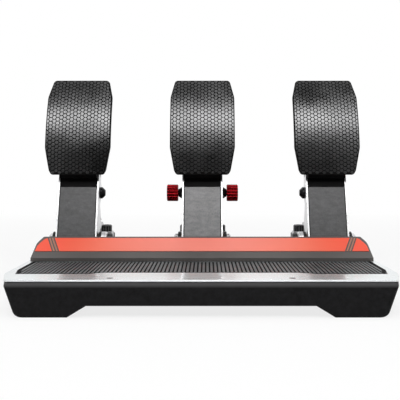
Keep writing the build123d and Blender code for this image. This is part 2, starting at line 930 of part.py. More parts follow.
def side_plates(x):
    """Two plates that clamp the channel, with a bulge at the foot and a lug at the bolt."""
    edge = corner_radius - arm_front
    back = side_plate_back - corner_radius
    round_top = side_plate_top - plate_end_round
    with BuildSketch() as outline:
        bulge = (bulge_back, bulge_up, bulge_radius)
        front_edge = (edge, bulge_up, corner_radius)
        add(hull_of(((0, 0, boss_radius), (edge, corner_radius, corner_radius), front_edge, bulge)))
        add(hull_of((
            front_edge,
            (back, bulge_up, corner_radius),
            (plate_end_round - arm_front, round_top, plate_end_round),
            (side_plate_back - plate_end_round, round_top, plate_end_round),
        )))
        add(hull_of((bulge, (back, bolt_up - lug_spread, corner_radius), front_edge)))
        add(hull_of((
            (bolt_back, bolt_up, lug_radius),
            (back, bolt_up - lug_spread, corner_radius),
            (back, bolt_up + lug_spread, corner_radius),
        )))
    with BuildPart() as plates:
        for start in (x - plate_outer, x + plate_inner):
            with BuildSketch(arm_plane(start)):
                add(outline.sketch)
            extrude(amount=side_plate_thickness)
        bore_arm(x, 0, 0, axle_radius + running_gap)
        bore_arm(x, bolt_back, bolt_up, bolt_radius + running_gap)
        flush_holes(arm_screws(x))
    return plates.part


def arm_screw_set(x):
    """The flush screws of one arm."""
    with BuildPart() as screws:
        with Locations(*arm_screws(x)):
            add(flush_screw())
    return screws.part


def pivot_axle(x, sensor_side):
    """The axle, with a head on each free end and a plain end inside a sensor."""
    with BuildPart() as axle:
        half = ear_outer + axle_head_gap
        rod_along_x(x - half, x + half, pivot_y, pivot_height, axle_radius)
        for side in (-1, 1):
            start = x + side * half
            if side == sensor_side:
                end = x + side * (ear_outer + axle_sensor_reach)
                rod_along_x(start, end, pivot_y, pivot_height, axle_radius)
            else:
                turned_along_x(start, pivot_y, pivot_height, side, [
                    (0, 0), (0, axle_head_radius), (axle_head_height - axle_dome, axle_head_radius),
                    (axle_head_height, axle_head_radius - axle_dome), (axle_head_height, 0),
                ])
    return axle.part


def cross_bolt(x, name):
    """The bolt that carries the strut: a button head inward, or a stud on both sides."""
    with BuildPart() as bolt:
        rod_along_x(x - plate_outer, x + plate_outer, bolt_y, bolt_z, bolt_radius)
        if name in sensor_sides:
            side = sensor_sides[name]
            turned_along_x(x + side * plate_outer, bolt_y, bolt_z, side, [
                (0, 0), (0, bolt_head_radius), (bolt_head_height - bolt_head_dome, bolt_head_radius),
                (bolt_head_height, bolt_head_radius - bolt_head_dome), (bolt_head_height, 0),
            ])
        else:
            half = plate_outer + stud_reach
            rod_along_x(x - half, x + half, bolt_y, bolt_z, stud_radius)
    return bolt.part


# Pads
def pad_front(x):
    """Front outline of a pad, seen by the driver."""
    height = pad_top - pad_bottom
    right = [(half * pad_width, pad_bottom + rise * height) for half, rise in pad_outline_shares]
    with BuildSketch(Plane((x, front, 0), x_dir=(1, 0, 0), z_dir=(0, -1, 0))) as outline:
        with BuildLine():
            Polyline((0, pad_bottom), *right, (0, pad_top), close=True)
        make_face()
        corners = outline.vertices().filter_by(lambda point: point.X > overrun).sort_by(Axis.Y)
        fillet(corners[2:-1], pad_side_round)
        corners = outline.vertices().filter_by(lambda point: point.X > overrun).sort_by(Axis.Y)
        fillet([corners[0], corners[-1]], pad_corner_round)
        mirror(about=Plane.YZ)
    return outline.sketch


def pad(x):
    """A pad bent round a wide arc."""
    with BuildPart() as plate:
        with BuildSketch(side_plane(x - pad_width, front + pad_setback + pad_bend, pad_bend_height)):
            Circle(pad_bend)
            Circle(pad_bend - pad_thickness, mode=Mode.SUBTRACT)
            Rectangle(pad_bend, 4 * pad_bend, align=(Align.MIN, Align.CENTER), mode=Mode.SUBTRACT)
        extrude(amount=2 * pad_width)
        extrude(pad_front(x), amount=-base_depth, mode=Mode.INTERSECT)
    return plate.part


def pad_bracket(x):
    """The block behind the pad and its tongue inside the channel."""
    face = channel_wall - arm_front
    back_radius = pad_bend - pad_thickness
    centre = (front + pad_setback + pad_bend, pad_bend_height)
    shoulder = (pad_bracket_top - pivot_height) / math.cos(lean)
    with BuildPart() as bracket:
        with BuildSketch(side_plane(x - channel_half)):
            with BuildLine():
                Polyline(
                    arm_point(face, tongue_start),
                    arm_point(-arm_front, tongue_start),
                    arm_point(-arm_front, tongue_underside),
                    (front + pad_setback - pad_bend, pad_bracket_bottom),
                    (front + pad_setback - pad_bend, pad_bracket_top),
                    arm_point(face - channel_wall, shoulder),
                    arm_point(face, channel_top + channel_wall),
                    close=True,
                )
            make_face()
            with Locations(centre):
                Circle(back_radius, mode=Mode.INTERSECT)
        extrude(amount=2 * channel_half)
        tongue_half = channel_half - channel_wall - seat_gap
        with BuildSketch(arm_plane(x - tongue_half)):
            with Locations((face, tongue_start)):
                Rectangle(tongue_back - face, tongue_end - tongue_start, align=(Align.MIN, Align.MIN))
            with Locations((bolt_back, bolt_up)):
                Circle(eye_radius + tongue_relief, mode=Mode.SUBTRACT)
        extrude(amount=2 * tongue_half)
        with Locations(*arm_screws(x)):
            Hole(flush_shank_radius + running_gap, depth=flush_length + running_gap)
    return bracket.part


# Struts
def strut_rod(x):
    """The upper half: an eye at the cross bolt, a seat and a smooth rod."""
    with BuildPart() as rod:
        spun(
            [(0, 0), (0, rod_radius), (seat_start, rod_radius), (seat_start, seat_radius),
             (seat_start + seat_thickness, seat_radius), (seat_start + seat_thickness, rod_radius),
             (rod_end, rod_radius), (rod_end, 0)],
            strut_plane(x),
            strut_axis(x),
        )
        rod_along_x(x - eye_half, x + eye_half, bolt_y, bolt_z, eye_radius)
        rod_along_x(x - eye_half, x + eye_half, bolt_y, bolt_z, bolt_radius + eye_open_gap, Mode.SUBTRACT)
    return rod.part


def strut_sleeve(x, start):
    """The lower half: a bored sleeve with an eye at the strut pin."""
    with BuildPart() as sleeve:
        bore = rod_radius + running_gap
        spun(
            [(start, bore), (start, sleeve_radius), (strut_length, sleeve_radius), (strut_length, 0),
             (sleeve_bore_end, 0), (sleeve_bore_end, bore)],
            strut_plane(x),
            strut_axis(x),
        )
        rod_along_x(x - sleeve_half, x + sleeve_half, pin_y, strut_pin_height, sleeve_eye_radius)
        rod_along_x(
            x - sleeve_half, x + sleeve_half, pin_y, strut_pin_height,
            strut_pin_radius + running_gap, Mode.SUBTRACT,
        )
    return sleeve.part


def preload_wheel(x):
    """A notched wheel that turns on the sleeve."""
    end = wheel_start + wheel_length
    bore = sleeve_radius + running_gap
    with BuildPart() as wheel:
        spun(
            [(wheel_start, bore), (wheel_start, wheel_radius - wheel_chamfer),
             (wheel_start + wheel_chamfer, wheel_radius), (end - wheel_chamfer, wheel_radius),
             (end, wheel_radius - wheel_chamfer), (end, bore)],
            strut_plane(x),
            strut_axis(x),
        )
        way = strut_way
        centre = (x, bolt_y + way[0] * wheel_start, bolt_z + way[1] * wheel_start)
        with BuildSketch(Plane(centre, x_dir=(1, 0, 0), z_dir=(0, *way))):
            with PolarLocations(wheel_radius, wheel_notch_count):
                Circle(wheel_notch_radius)
        extrude(amount=wheel_length, mode=Mode.SUBTRACT)
    return wheel.part


def biarc(start, start_way, end, end_way):
    """Two arcs that join two points smoothly, each along its own direction."""
    chord = end - start
    both = start_way + end_way
    spread = 2 * (1 - start_way.dot(end_way))
    reach = (math.sqrt(chord.dot(both) ** 2 + spread * chord.dot(chord)) - chord.dot(both)) / spread
    first = start + start_way * reach
    last = end - end_way * reach
    joint = (first + last) / 2
    TangentArc(start, joint, tangent=start_way)
    TangentArc(joint, end, tangent=last - first)


def coil_points(start, length):
    """Quarter-turn points and directions of a coil with close end turns."""
    middle_pitch = (length - wire - 2 * coil_end_pitch) / (coil_turns - 2)
    pitches = [coil_end_pitch] * 4 + [middle_pitch] * 4 * (coil_turns - 2) + [coil_end_pitch] * 4
    points = []
    along = start + wire / 2
    for quarter in range(len(pitches) + 1):
        before = pitches[max(quarter - 1, 0)]
        after = pitches[min(quarter, len(pitches) - 1)]
        turn = quarter * math.pi / 2
        place = Vector(along, coil_radius * math.cos(turn), coil_radius * math.sin(turn))
        rise = (before + after) / 2 / (2 * math.pi)
        way = Vector(rise, -coil_radius * math.sin(turn), coil_radius * math.cos(turn))
        points.append((place, way.normalized()))
        along += after / 4
    return points


def coil_spring(x):
    """An unbroken wire coiled round the rod, between the seat and the wheel."""
    start = seat_start + seat_thickness + coil_seat_gap
    length = wheel_start - coil_seat_gap - start
    plane = strut_plane(x)
    points = []
    for place, way in coil_points(start, length):
        here = plane.from_local_coords(place)
        points.append((here, plane.from_local_coords(place + way) - here))
    with BuildPart() as spring:
        with BuildLine() as path:
            for (here, here_way), (there, there_way) in zip(points, points[1:]):
                biarc(here, here_way, there, there_way)
        with BuildSketch(Plane(points[0][0], z_dir=points[0][1])):
            Circle(wire / 2)
        sweep(path=path.wires()[0])
    return spring.part, path.wires()[0]


def self_gap(path):
    """Least gap of a coiled wire to itself, measured between points a turn or more apart."""
    steps = 40 * coil_turns
    points = [path.position_at(step / steps) for step in range(steps + 1)]
    near = min(
        (points[one] - points[other]).length
        for one in range(len(points))
        for other in range(one + 20, len(points))
    )
    return near - wire


def elastomers(x):
    """Rubber pucks on the brake rod."""
    start = seat_start + seat_thickness + elastomer_gap
    space = (load_cell_start - start) / elastomer_count
    with BuildPart() as pucks:
        for puck in range(elastomer_count):
            low = start + puck * space
            high = low + space - elastomer_gap
            spun(
                [(low, rod_radius + elastomer_gap), (low, elastomer_radius - elastomer_round),
                 (low + elastomer_round, elastomer_radius), (high - elastomer_round, elastomer_radius),
                 (high, elastomer_radius - elastomer_round), (high, rod_radius + elastomer_gap)],
                strut_plane(x),
                strut_axis(x),
            )
    return pucks.part


def load_cell(x):
    """A ring-shaped force sensor round the sleeve, against the wheel."""
    end = wheel_start - running_gap
    bore = sleeve_radius + running_gap
    with BuildPart() as ring:
        spun(
            [(load_cell_start, bore), (load_cell_start, load_cell_radius - load_cell_round),
             (load_cell_start + load_cell_round, load_cell_radius), (end - load_cell_round, load_cell_radius),
             (end, load_cell_radius - load_cell_round), (end, bore)],
            strut_plane(x),
            strut_axis(x),
        )
    return ring.part


for name, x in pedals.items():
    keep(arm_channel(x), f"{name}_arm")
    keep(side_plates(x), f"{name}_side_plates")
    keep(arm_screw_set(x), f"{name}_arm_screws")
    keep(pad_bracket(x), f"{name}_pad_bracket")
    keep(pad(x), f"{name}_pad")
    keep(pivot_axle(x, sensor_sides.get(name)), f"{name}_axle")
    keep(cross_bolt(x, name), f"{name}_cross_bolt")
    keep(preload_wheel(x), f"{name}_preload_wheel")
    if name in sensor_sides:
        spring, path = coil_spring(x)
        print(name, "spring's least gap to itself", round(self_gap(path), 3))
        keep(spring, f"{name}_spring")
        keep(strut_rod(x), f"{name}_strut_rod")
        keep(strut_sleeve(x, sleeve_start), f"{name}_strut_sleeve")
    else:
        keep(elastomers(x), f"{name}_elastomers")
        keep(load_cell(x), f"{name}_load_cell")
        keep(strut_rod(x), f"{name}_strut_rod")
        keep(strut_sleeve(x, load_cell_start + brake_sleeve_lead), f"{name}_strut_sleeve")

# Brake collars and thumb knobs
with BuildPart() as brake_collars:
    for side in (-1, 1):
        bore = stud_radius + running_gap
        turned_along_x(side * plate_outer, bolt_y, bolt_z, side, [
            (0, bore), (0, collar_large_radius), (collar_length, collar_small_radius), (collar_length, bore),
        ])
keep(brake_collars.part, "brake_collars")


def thumb_knob(side):
    """A fluted knob on the end of the brake's cross bolt."""
    start = side * (plate_outer + collar_length + knob_gap)
    pocket = plate_outer + stud_reach + seat_gap - abs(start)
    bore = stud_radius + running_gap
    with BuildPart() as knob:
        turned_along_x(start, bolt_y, bolt_z, side, [
            (0, bore), (0, knob_radius - knob_chamfer), (knob_chamfer, knob_radius),
            (knob_length - knob_chamfer, knob_radius), (knob_length, knob_radius - knob_chamfer),
            (knob_length, 0), (pocket, 0), (pocket, bore),
        ])
        with BuildSketch(side_plane(min(start, start + side * knob_length), bolt_y, bolt_z)):
            with PolarLocations(knob_radius, knob_flute_count):
                Circle(knob_flute_radius)
        extrude(amount=knob_length, mode=Mode.SUBTRACT)
    return knob.part


keep(thumb_knob(-1), "brake_knob_left")
keep(thumb_knob(1), "brake_knob_right")
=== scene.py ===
import json
import math

import bpy
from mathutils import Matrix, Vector


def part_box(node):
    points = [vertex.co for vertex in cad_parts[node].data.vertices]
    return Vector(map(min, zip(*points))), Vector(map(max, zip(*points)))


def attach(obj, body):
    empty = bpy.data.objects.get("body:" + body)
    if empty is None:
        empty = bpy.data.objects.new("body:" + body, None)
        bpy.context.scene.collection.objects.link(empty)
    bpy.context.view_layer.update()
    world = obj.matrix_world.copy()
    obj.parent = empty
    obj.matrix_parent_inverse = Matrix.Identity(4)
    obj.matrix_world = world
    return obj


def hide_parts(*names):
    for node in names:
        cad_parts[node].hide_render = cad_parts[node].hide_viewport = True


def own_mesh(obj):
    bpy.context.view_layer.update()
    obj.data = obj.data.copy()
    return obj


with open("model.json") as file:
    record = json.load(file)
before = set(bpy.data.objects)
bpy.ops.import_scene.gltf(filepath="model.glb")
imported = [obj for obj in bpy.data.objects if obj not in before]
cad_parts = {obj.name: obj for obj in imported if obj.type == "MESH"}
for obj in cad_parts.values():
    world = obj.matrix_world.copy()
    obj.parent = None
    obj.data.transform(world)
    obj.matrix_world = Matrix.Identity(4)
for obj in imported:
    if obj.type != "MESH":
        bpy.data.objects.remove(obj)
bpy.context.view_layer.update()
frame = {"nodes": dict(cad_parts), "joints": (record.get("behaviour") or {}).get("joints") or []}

nodes = frame["nodes"]
joints = {joint["name"]: joint for joint in frame["joints"]}
PEDALS = {"clutch": -0.140, "brake": 0.0, "throttle": 0.140}
LEAN = math.radians(16.6)

# Most noise lies between these values
NOISE_LOW = 0.3
NOISE_HIGH = 0.7


# Shader helpers
def principled(name, colour, roughness, metallic=0.0, specular=0.5):
    """A material with its Principled shader set; returns the material, its tree and the shader."""
    material = bpy.data.materials.new(name)
    material.use_nodes = True
    tree = material.node_tree
    shader = tree.nodes["Principled BSDF"]
    shader.inputs["Base Color"].default_value = (*colour, 1)
    shader.inputs["Roughness"].default_value = roughness
    shader.inputs["Metallic"].default_value = metallic
    shader.inputs["Specular IOR Level"].default_value = specular
    return material, tree, shader


def add(tree, kind, **values):
    """A node with its named inputs or properties set."""
    node = tree.nodes.new(kind)
    for key, value in values.items():
        if key in node.inputs:
            node.inputs[key].default_value = value
        else:
            setattr(node, key, value)
    return node


def feed(tree, socket, value):
    """Links an output to a socket, or sets a number or colour on it."""
    if isinstance(value, bpy.types.NodeSocket):
        tree.links.new(value, socket)
    elif isinstance(value, tuple):
        socket.default_value = (*value, 1)
    else:
        socket.default_value = value


def coordinates_of(tree, scale=(1, 1, 1), turn=(0, 0, 0)):
    """Object coordinates, stretched and turned, as every texture here uses them."""
    source = add(tree, "ShaderNodeTexCoord")
    mapping = add(tree, "ShaderNodeMapping", Scale=scale, Rotation=turn)
    tree.links.new(source.outputs["Object"], mapping.inputs["Vector"])
    return mapping.outputs["Vector"]


def along_axis(tree, vector, axis):
    """One coordinate of a vector."""
    split = add(tree, "ShaderNodeSeparateXYZ")
    tree.links.new(vector, split.inputs["Vector"])
    return split.outputs[axis]


def noise(tree, vector, scale, detail=4.0, roughness=0.55):
    """A noise texture's value."""
    texture = add(tree, "ShaderNodeTexNoise", Scale=scale, Detail=detail, Roughness=roughness)
    tree.links.new(vector, texture.inputs["Vector"])
    return texture.outputs["Fac"]


def ramp(tree, value, stops):
    """A colour ramp through (position, colour) stops."""
    node = add(tree, "ShaderNodeValToRGB")
    while len(node.color_ramp.elements) < len(stops):
        node.color_ramp.elements.new(0.5)
    for element, (position, colour) in zip(node.color_ramp.elements, stops):
        element.position = position
        element.color = (*colour, 1)
    tree.links.new(value, node.inputs["Fac"])
    return node.outputs["Color"]


def spread(tree, value, low, high, from_low=0.0, from_high=1.0):
    """A value carried from one range to another."""
    node = add(tree, "ShaderNodeMapRange")
    node.inputs["From Min"].default_value = from_low
    node.inputs["From Max"].default_value = from_high
    node.inputs["To Min"].default_value = low
    node.inputs["To Max"].default_value = high
    tree.links.new(value, node.inputs["Value"])
    return node.outputs["Result"]


def maths(tree, operation, *values):
    """A sum on outputs and numbers."""
    node = add(tree, "ShaderNodeMath", operation=operation)
    for socket, value in zip(node.inputs, values):
        feed(tree, socket, value)
    return node.outputs["Value"]


def mix(tree, factor, first, second, blend_type="MIX"):
    """Two colours mixed."""
    node = add(tree, "ShaderNodeMix", data_type="RGBA", blend_type=blend_type)
    for key, value in (("Factor", factor), ("A", first), ("B", second)):
        feed(tree, node.inputs[key], value)
    return node.outputs["Result"]


def between(tree, value, rise, fall):
    """One between two edges and zero outside; each edge is given as its start and its end."""
    return maths(tree, "MULTIPLY", spread(tree, value, 0.0, 1.0, *rise),
                 spread(tree, value, 1.0, 0.0, *fall))


def shades(tree, value, colour, dark, light, low=NOISE_LOW, high=NOISE_HIGH):
    """A colour that runs from a darker to a lighter shade of itself."""
    ends = [tuple(min(1.0, channel * factor) for channel in colour) for factor in (dark, light)]
    return ramp(tree, value, [(low, ends[0]), (high, ends[1])])


def clouded(tree, colour, value, darkest, low=NOISE_LOW, high=NOISE_HIGH):
    """A colour dimmed in clouds, at most to a share of itself."""
    return mix(tree, 1.0, colour, ramp(tree, value, [(low, (darkest,) * 3), (high, (1.0,) * 3)]),
               "MULTIPLY")


def colour_with(tree, shader, colour):
    """Gives the shader its colour."""
    tree.links.new(colour, shader.inputs["Base Color"])


def roughen(tree, shader, value, low, high, from_low=NOISE_LOW, from_high=NOISE_HIGH):
    """Uneven gloss."""
    tree.links.new(spread(tree, value, low, high, from_low, from_high), shader.inputs["Roughness"])


def bump(tree, shader, height, strength, distance):
    """Bump from a height value."""
    node = add(tree, "ShaderNodeBump", Strength=strength, Distance=distance)
    tree.links.new(height, node.inputs["Height"])
    tree.links.new(node.outputs["Normal"], shader.inputs["Normal"])


# Materials
BLOTCH_SCALE = 22.0
GRAIN_GLOSS = 0.07
GRAIN_DEPTH = 0.00006
CLOUD_SCALE = 14.0
CLOUD_DARKEST = 0.9
STREAK_BUMP = 0.25


def grained(name, colour, roughness, grain=900.0, strength=0.35, variation=0.25, **more):
    """Moulded plastic, rubber or powder coat: fine grain, faint blotches and uneven gloss."""
    material, tree, shader = principled(name, colour, roughness, **more)
    vector = coordinates_of(tree)
    broad = noise(tree, vector, BLOTCH_SCALE, 3.0)
    colour_with(tree, shader, shades(tree, broad, colour, 1 - variation, 1 + variation))
    roughen(tree, shader, broad, roughness - GRAIN_GLOSS, roughness + GRAIN_GLOSS)
    bump(tree, shader, noise(tree, vector, grain, 3.0), strength, GRAIN_DEPTH)
    return material


def brushed(name, colour, roughness, stretch, turn=(0, 0, 0), depth=0.00004, variation=0.18,
            uneven=0.09, across=0.0):
    """Brushed metal: streaks along the axis that the stretch leaves short."""
    material, tree, shader = principled(name, colour, roughness, metallic=1.0)
    streaks = noise(tree, coordinates_of(tree, stretch, turn), 1.0, 5.0, 0.65)
    broad = noise(tree, coordinates_of(tree), CLOUD_SCALE, 2.0)
    tone = shades(tree, streaks, colour, 1 - variation, 1 + variation)
    colour_with(tree, shader, clouded(tree, tone, broad, CLOUD_DARKEST))
    roughen(tree, shader, streaks, roughness - uneven, roughness + uneven)
    if depth:
        bump(tree, shader, streaks, STREAK_BUMP, depth)
    if across:
        tangent = add(tree, "ShaderNodeTangent", direction_type="RADIAL", axis="X")
        tree.links.new(tangent.outputs["Tangent"], shader.inputs["Tangent"])
        shader.inputs["Anisotropic"].default_value = across
    return material


def inlay_material():
    """Satin red with a painted sheen that makes it paler towards the middle, with tan stripes where
    the thin slanted pieces are.
    """
    red, sheen_warm, sheen_palest = (0.94, 0.095, 0.045), (0.94, 0.19, 0.12), (0.94, 0.265, 0.205)
    tan = (0.4, 0.18, 0.12)
    sheen_start, sheen_end, sheen_warm_share = 0.03, 0.16, 0.62
    # The stripes lean by this angle on a face that is longer along its slope than in Y
    slant, slope_stretch = math.radians(20.0), 1.0936
    stripes_start, stripes_end, edge = 0.1532, 0.16, 0.0001
    material, tree, shader = principled("inlay_red", red, 0.42, specular=0.3)
    vector = coordinates_of(tree)
    aside = maths(tree, "ABSOLUTE", along_axis(tree, vector, "X"))
    # Painted sheen: the red turns paler towards the middle, where a glossy highlight would lie.
    outward = spread(tree, aside, 0.0, 1.0, sheen_start, sheen_end)
    painted_sheen = ramp(tree, outward, [(0.0, sheen_palest), (sheen_warm_share, sheen_warm), (1.0, red)])
    tone = clouded(tree, painted_sheen, noise(tree, vector, 12.0, 3.0), 0.94)
    low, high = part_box("panel_inlay")
    lean = -math.tan(slant) * slope_stretch
    leaning = maths(tree, "MULTIPLY_ADD", along_axis(tree, vector, "Y"), lean, aside)
    offset = lean * (low[1] + high[1]) / 2
    first, last = offset + stripes_start, offset + stripes_end
    stripes = between(tree, leaning, (first, first + edge), (last - edge, last))
    colour_with(tree, shader, mix(tree, stripes, tone, tan))
    bump(tree, shader, noise(tree, vector, 1800.0, 2.0), 0.2, 0.00004)
    return material


def sensor_material(centre, side):
    """Bright housing and black cap; the cap starts at a distance from the pedal's middle."""
    bright, black = (0.66, 0.66, 0.67), (0.01, 0.01, 0.011)
    cap_distance, edge = 0.03375, 0.00002
    name = "sensor_right" if side > 0 else "sensor_left"
    material, tree, shader = principled(name, bright, 0.3)
    start = centre + side * cap_distance
    cap = spread(tree, along_axis(tree, coordinates_of(tree), "X"), 0.0, 1.0,
                 start - side * edge, start + side * edge)
    streaks = noise(tree, coordinates_of(tree, (900.0, 40.0, 40.0)), 1.0)
    colour_with(tree, shader, mix(tree, cap, shades(tree, streaks, bright, 0.85, 1.1), black))
    tree.links.new(spread(tree, cap, 1.0, 0.0), shader.inputs["Metallic"])
    roughen(tree, shader, streaks, 0.25, 0.4)
    return material


def arm_material(pedal, centre):
    """Brushed grey face, worn in patches, with a painted shadow line down each edge of the channel;
    the brake arm's paler grey is painted light.
    """
    # Painted light: the brake arm gets a paler grey than the outer arms, standing in for the
    # stronger light on the middle arm.
    grey = (0.2, 0.2, 0.202) if pedal == "brake" else (0.098, 0.098, 0.1)
    gap_shadow_start, gap_shadow_full = 0.0196, 0.0202
    material, tree, shader = principled(f"arm_grey_{pedal}", grey, 0.42, metallic=0.5)
    upright, level = (1400.0, 1400.0, 14.0), (30.0, 1200.0, 1200.0)
    patches, patch_turn = (120.0, 120.0, 260.0), (-LEAN, 0, 0.5)
    streaks = noise(tree, coordinates_of(tree, upright, (-LEAN, 0, 0)), 1.0, 5.0, 0.65)
    fine = noise(tree, coordinates_of(tree, level, (-LEAN, 0, 0)), 1.0, 4.0, 0.6)
    worn = noise(tree, coordinates_of(tree, patches, patch_turn), 1.0, 5.0, 0.75)
    tone = clouded(tree, shades(tree, streaks, grey, 0.86, 1.14), worn, 0.66, 0.33, 0.67)
    beside = maths(tree, "SUBTRACT", along_axis(tree, coordinates_of(tree), "X"), centre)
    # Painted shadow: a dark line along each edge of the face, where the gap to the side plates lies
    # in shade.
    line = spread(tree, maths(tree, "ABSOLUTE", beside), 0.0, 1.0, gap_shadow_start, gap_shadow_full)
    colour_with(tree, shader, mix(tree, line, tone, (0.01, 0.01, 0.01)))
    roughen(tree, shader, fine, 0.34, 0.52)
    bump(tree, shader, fine, 0.2, 0.00003)
    return material


def shell_material():
    """Fine-grained black moulding with a painted highlight: a paler band along its top edge, where
    its rounded edge catches the light.
    """
    black, lit_band_grey = (0.0065, 0.0065, 0.007), (0.068, 0.068, 0.069)
    lit_band_rise, lit_band_fall = (0.0255, 0.0285), (0.0301, 0.0306)
    material, tree, shader = principled("shell_black", black, 0.5, specular=0.12)
    vector = coordinates_of(tree)
    # Painted highlight: a paler band of colour along the top edge.
    band = between(tree, along_axis(tree, vector, "Z"), lit_band_rise, lit_band_fall)
    broad = noise(tree, vector, 220.0, 4.0, 0.7)
    colour_with(tree, shader, mix(tree, band, shades(tree, broad, black, 0.5, 1.6), lit_band_grey))
    roughen(tree, shader, broad, 0.44, 0.58)
    bump(tree, shader, noise(tree, vector, 1400.0, 3.0), 0.35, GRAIN_DEPTH)
    return material


def knurled_material():
    """Dark screw steel whose head is knurled in fine upright ridges, with painted highlight and
    shade along the ridges.
    """
    dark, ridges_per_unit = (0.11, 0.11, 0.112), 330.0
    material, tree, shader = principled("knurled_steel", dark, 0.38, metallic=0.45)
    vector = coordinates_of(tree)
    ridges = []
    for direction in ("X", "Y"):
        wave = add(tree, "ShaderNodeTexWave", wave_type="BANDS", bands_direction=direction,
                   Scale=ridges_per_unit)
        tree.links.new(vector, wave.inputs["Vector"])
        ridges.append(wave.outputs["Fac"])
    both = maths(tree, "MULTIPLY", *ridges)
    # Painted highlight and shade: the colour runs from much darker to much lighter across the
    # ridges.
    colour_with(tree, shader, shades(tree, both, dark, 0.25, 2.4, 0.1, 0.6))
    roughen(tree, shader, noise(tree, vector, 300.0), 0.24, 0.4)
    bump(tree, shader, both, 0.5, 0.0002)
    return material


def mat_material():
    """Ribbed rubber with slightly shiny rib tops; the rib tops are painted paler in uneven tones as
    a painted highlight, and the grooves are painted near black as painted shade.
    """
    dark, worn, pale = (0.006, 0.006, 0.006), (0.072, 0.077, 0.079), (0.128, 0.137, 0.14)
    lit_top_start, lit_top_full = 0.0004, 0.0001
    material, tree, shader = principled("mat_rubber", dark, 0.6, specular=0.25)
    vector = coordinates_of(tree)
    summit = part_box("heel_mat")[1][2]
    height = along_axis(tree, vector, "Z")
    top = spread(tree, height, 0.0, 1.0, summit - lit_top_start, summit - lit_top_full)
    # Painted highlight on the rib tops and painted shade in the grooves: the colour goes from near
    # black up to paler tones near the ribs' summit.
    tone = ramp(tree, noise(tree, vector, 30.0), [(NOISE_LOW, worn), (NOISE_HIGH, pale)])
    colour_with(tree, shader, mix(tree, top, dark, tone))
    roughen(tree, shader, top, 0.9, 0.45, 0.0, 1.0)
    bump(tree, shader, noise(tree, vector, 1100.0, 3.0), 0.3, 0.00005)
    return material


trim_silver = brushed("trim_silver", (0.86, 0.89, 0.895), 0.28, (6.0, 1600.0, 1600.0),
                      variation=0.06, uneven=0.02, across=0.78, depth=0.0)
plate_silver = brushed("plate_silver", (0.78, 0.78, 0.79), 0.33, (900.0, 900.0, 12.0),
                       (-LEAN, 0, 0))
bright_steel = brushed("bright_steel", (0.66, 0.66, 0.67), 0.24, (700.0,) * 3, variation=0.1)
machined = brushed("machined", (0.6, 0.6, 0.61), 0.36, (30.0, 1200.0, 1200.0), variation=0.14)
bronze = brushed("bronze", (0.16, 0.11, 0.07), 0.4, (600.0,) * 3)
knob_red = brushed("knob_red", (0.26, 0.008, 0.012), 0.26, (60.0, 1500.0, 1500.0), variation=0.25)
wheel_grey = brushed("wheel_grey", (0.05, 0.05, 0.053), 0.36, (800.0,) * 3, variation=0.2)
spring_steel = brushed("spring_steel", (0.5, 0.5, 0.52), 0.25, (500.0,) * 3, variation=0.15)
rubber_black = grained("rubber_black", (0.012, 0.012, 0.012), 0.8, grain=700.0, variation=0.3)
black_steel = grained("black_steel", (0.012, 0.012, 0.0125), 0.5, grain=1800.0, strength=0.5,
                      specular=0.3)
black_anodised = grained("black_anodised", (0.004, 0.004, 0.0043), 0.45, grain=1500.0, specular=0.2)
# Partly painted shadow: the pad bracket is made near black to stand in for the shadow under the
# pad.
pad_shadow_black = grained("pad_shadow_black", (0.0022, 0.0022, 0.0023), 0.55, grain=1500.0, specular=0.07)
panel_grey = grained("panel_grey", (0.09, 0.083, 0.079), 0.5, grain=1600.0, variation=0.12,
                     specular=0.35)
dark_screw = grained("dark_screw", (0.02, 0.02, 0.022), 0.3, grain=2500.0, metallic=0.7)
puck_rubber = grained("puck_rubber", (0.03, 0.03, 0.032), 0.55, grain=600.0)
# Painted shade: a near-black copy of the pad's rubber for the groove floors between the hexagons
# and the hexagons' lower walls.
pad_shade_black = grained("pad_shade_black", (0.004, 0.004, 0.004), 0.7, grain=1500.0, variation=0.2,
                     specular=0.1)
pad_rubber = grained("pad_rubber", (0.115, 0.115, 0.116), 0.29, grain=1500.0, variation=0.12,
                     metallic=0.97, specular=0.2)
board_green = grained("board_green", (0.01, 0.12, 0.05), 0.3, grain=500.0)


def dress(material, *names):
    """Puts one material in every slot of CAD nodes."""
    for name in names:
        mesh = nodes[name].data
        if not mesh.materials:
            mesh.materials.append(material)
        for slot in nodes[name].material_slots:
            slot.material = material


def every(*kinds):
    """The names of a kind of node on all three pedals, where they exist."""
    return [f"{pedal}_{kind}" for pedal in PEDALS for kind in kinds if f"{pedal}_{kind}" in nodes]


dress(shell_material(), "base_shell", "bottom_cover")
dress(rubber_black, "foot_pads")
dress(mat_material(), "heel_mat")
dress(trim_silver, "heel_plate")
dress(black_steel, "base_plate", *every("bracket"))
dress(panel_grey, "front_panel")
dress(inlay_material(), "panel_inlay")
dress(dark_screw, "deck_screws", "bracket_screws", *every("arm_screws", "cross_bolt"))
dress(knurled_material(), "strut_base_screws")
dress(bright_steel, "strut_pins", "usb_socket", *every("axle", "strut_rod"))
dress(machined, *every("strut_base", "load_cell"))
dress(bronze, "pivot_bearings")
dress(board_green, "circuit_board")
for pedal, centre in PEDALS.items():
    dress(arm_material(pedal, centre), f"{pedal}_arm")
dress(plate_silver, *every("side_plates"))
dress(black_anodised, "brake_collars", *every("strut_sleeve"))
dress(pad_shadow_black, *every("pad_bracket"))
dress(pad_shade_black, *every("pad"))
dress(knob_red, "brake_knob_left", "brake_knob_right")
dress(wheel_grey, *every("preload_wheel"))
dress(sensor_material(PEDALS["clutch"], 1), "clutch_sensor")
dress(sensor_material(PEDALS["throttle"], -1), "throttle_sensor")

